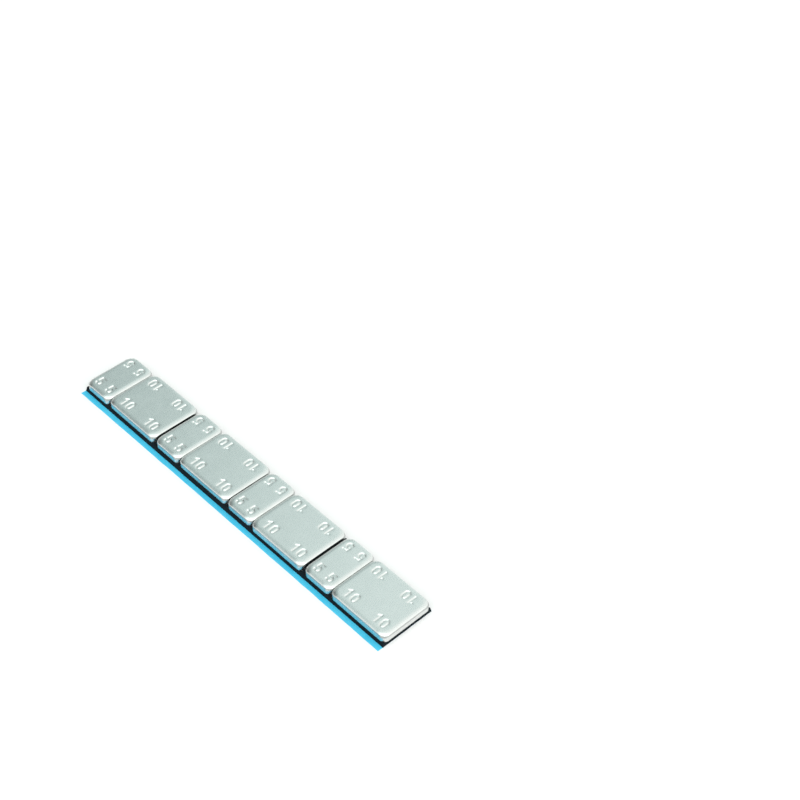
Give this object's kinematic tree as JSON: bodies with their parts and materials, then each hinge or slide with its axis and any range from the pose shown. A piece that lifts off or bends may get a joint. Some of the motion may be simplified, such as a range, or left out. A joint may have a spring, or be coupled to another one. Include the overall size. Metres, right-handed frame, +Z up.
{
  "type": "wheel balance weight",
  "caption": "Stick-on wheel balance weight: a strip of stamped, zinc-plated steel plates on black foam tape, with a blue release liner that stands out along one side as a pull flap.",
  "frame": {"origin": "middle of the strip's footprint, on the underside of the release liner", "axes": "+X along the strip from its far end to the end nearest the camera in the picture, -Y towards the pull flap, +Z up through the plates"},
  "size_m": [0.143, 0.0216, 0.0047],
  "materials": {
    "zinc_plated_steel": "tumbled and zinc-plated, satin, with a bright rolled edge",
    "foam": "matt black acrylic foam, cut edges slightly ragged",
    "liner_film": "thin blue release film, satin"
  },
  "bodies": {
    "root": {"weight_5g_1": "zinc_plated_steel", "weight_10g_1": "zinc_plated_steel", "weight_5g_2": "zinc_plated_steel", "weight_10g_2": "zinc_plated_steel", "weight_5g_3": "zinc_plated_steel", "weight_10g_3": "zinc_plated_steel", "weight_5g_4": "zinc_plated_steel", "weight_10g_4": "zinc_plated_steel", "foam_tape": "foam", "release_liner": "liner_film"}
  },
  "joints": []
}
